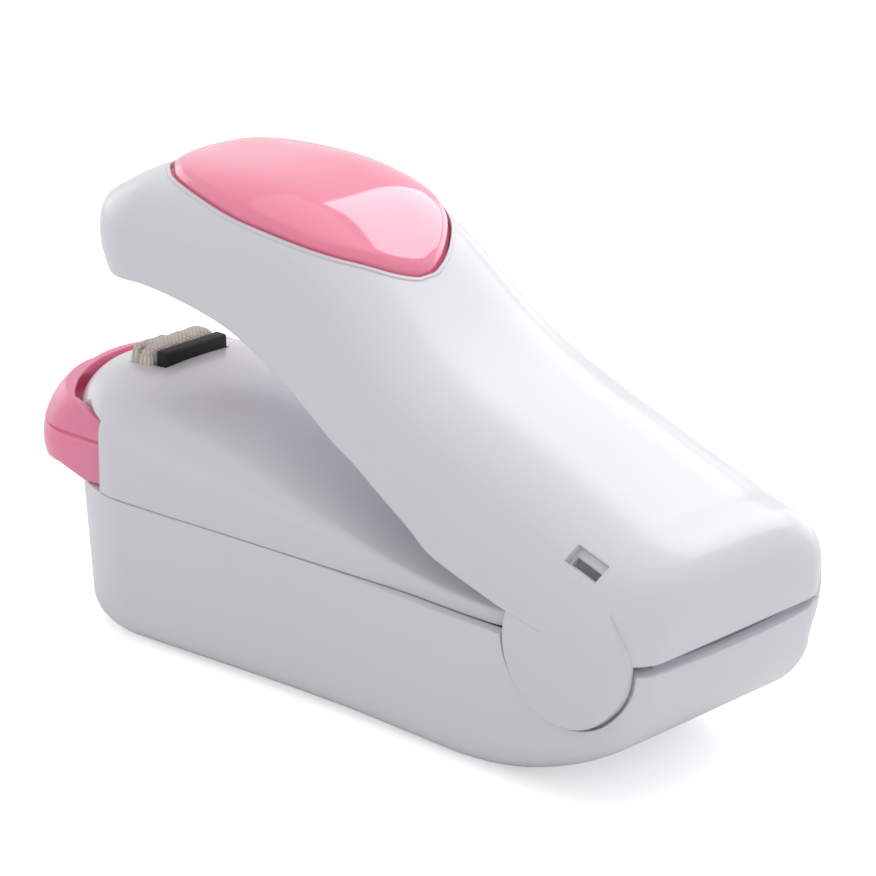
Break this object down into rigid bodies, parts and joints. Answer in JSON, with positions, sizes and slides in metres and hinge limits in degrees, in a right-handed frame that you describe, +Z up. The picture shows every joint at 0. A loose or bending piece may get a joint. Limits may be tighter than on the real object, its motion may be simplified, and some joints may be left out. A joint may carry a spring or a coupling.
{
  "type": "mini bag sealer",
  "caption": "Hand-held heat sealer for plastic bags: a battery base with a heated jaw, a sprung hinged arm with a thumb pad, and a swinging lock bail.",
  "frame": {"origin": "centre of the bounding box at its base", "axes": "+X towards the hinge end, -X the jaw and lock, +Z up, +Y to the right seen from the hinge end; rest pose is the arm sprung open"},
  "size_m": [0.1199, 0.0426, 0.07],
  "materials": {
    "white_abs": "glossy moulded white",
    "white_inner": "satin moulded white",
    "pink_gloss": "high gloss pink",
    "lock_pink": "semi gloss salmon pink",
    "rubber_black": "matt",
    "cloth_beige": "woven, matt",
    "steel": "plated",
    "ceramic": "matt moulded block",
    "foil": "rolled ribbon",
    "silicone_red": "matt silicone",
    "cell_wrap": "thin coloured film over a metal can",
    "switch_black": "matt"
  },
  "bodies": {
    "base": {"base_lower_shell": "white_abs", "base_upper_shell": "white_abs", "battery_cell_1": "cell_wrap", "battery_cell_2": "cell_wrap", "battery_spring_1": "steel", "battery_spring_2": "steel", "series_link_plate": "steel", "contact_plate_1": "steel", "contact_plate_2": "steel", "heater_block": "ceramic", "heater_ribbon": "foil", "heater_cloth": "cloth_beige", "rubber_strip": "rubber_black", "pivot_pin": "steel", "base_screw_1": "steel", "base_screw_2": "steel", "base_screw_3": "steel", "base_screw_4": "steel", "base_magnet": "steel", "arm_spring": "steel", "micro_switch": "switch_black"},
    "arm": {"arm_shell": "white_abs", "arm_inner_plate": "white_inner", "jaw_silicone_strip": "silicone_red", "thumb_spring": "steel"},
    "thumb_pad": {"thumb_pad": "pink_gloss"},
    "lock_bail": {"lock_bail": "lock_pink"},
    "battery_door": {"battery_door": "white_abs"}
  },
  "joints": [
    {"name": "arm_hinge", "type": "hinge", "parent": "base", "child": "arm", "pos_m": [0.0465, 0, 0.0217], "axis": [0, -1, 0], "range_deg": [0, 10.4], "stiffness_Nm_per_rad": 0.5, "springref_deg": -11.46, "deforming": ["arm_spring"]},
    {"name": "thumb_press", "type": "slide", "parent": "arm", "child": "thumb_pad", "axis": [-0.1805, 0, -0.9836], "range_m": [0, 0.0012], "stiffness_N_per_m": 2000, "springref_m": -0.0006, "deforming": ["thumb_spring"]},
    {"name": "bail_hinge", "type": "hinge", "parent": "base", "child": "lock_bail", "pos_m": [-0.0449, 0, 0.0268], "axis": [0, 1, 0], "range_deg": [0, 9]},
    {"name": "door_hinge", "type": "hinge", "parent": "base", "child": "battery_door", "pos_m": [-0.0344, 0, 0], "axis": [0, 1, 0], "range_deg": [0, 70]}
  ]
}
